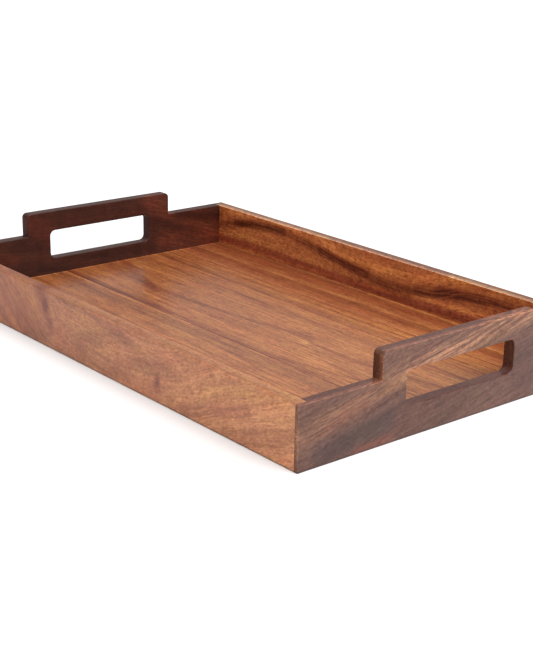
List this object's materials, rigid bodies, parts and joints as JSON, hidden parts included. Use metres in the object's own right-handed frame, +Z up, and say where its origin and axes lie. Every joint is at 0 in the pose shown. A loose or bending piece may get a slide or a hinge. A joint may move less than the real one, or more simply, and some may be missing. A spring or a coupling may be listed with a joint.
{
  "type": "serving tray",
  "caption": "Rectangular wooden serving tray with low sides and raised ends, each with a long hand hole, and a plank floor.",
  "frame": {"origin": "on the table, under the middle of the tray", "axes": "+X along the tray, towards its right end; +Y across it, towards the back side; +Z up"},
  "size_m": [0.45, 0.29, 0.065],
  "materials": {
    "dark_wood": "satin lacquer over dark heartwood",
    "red_wood": "satin lacquer over reddish-brown figured wood",
    "floor_wood": "satin lacquer over straight-grained orange-brown wood"
  },
  "bodies": {
    "root": {"left_end": "dark_wood", "right_end": "dark_wood", "front_side": "red_wood", "back_side": "red_wood", "floor_front_plank": "floor_wood", "floor_middle_plank": "floor_wood", "floor_back_plank": "floor_wood"}
  },
  "joints": []
}
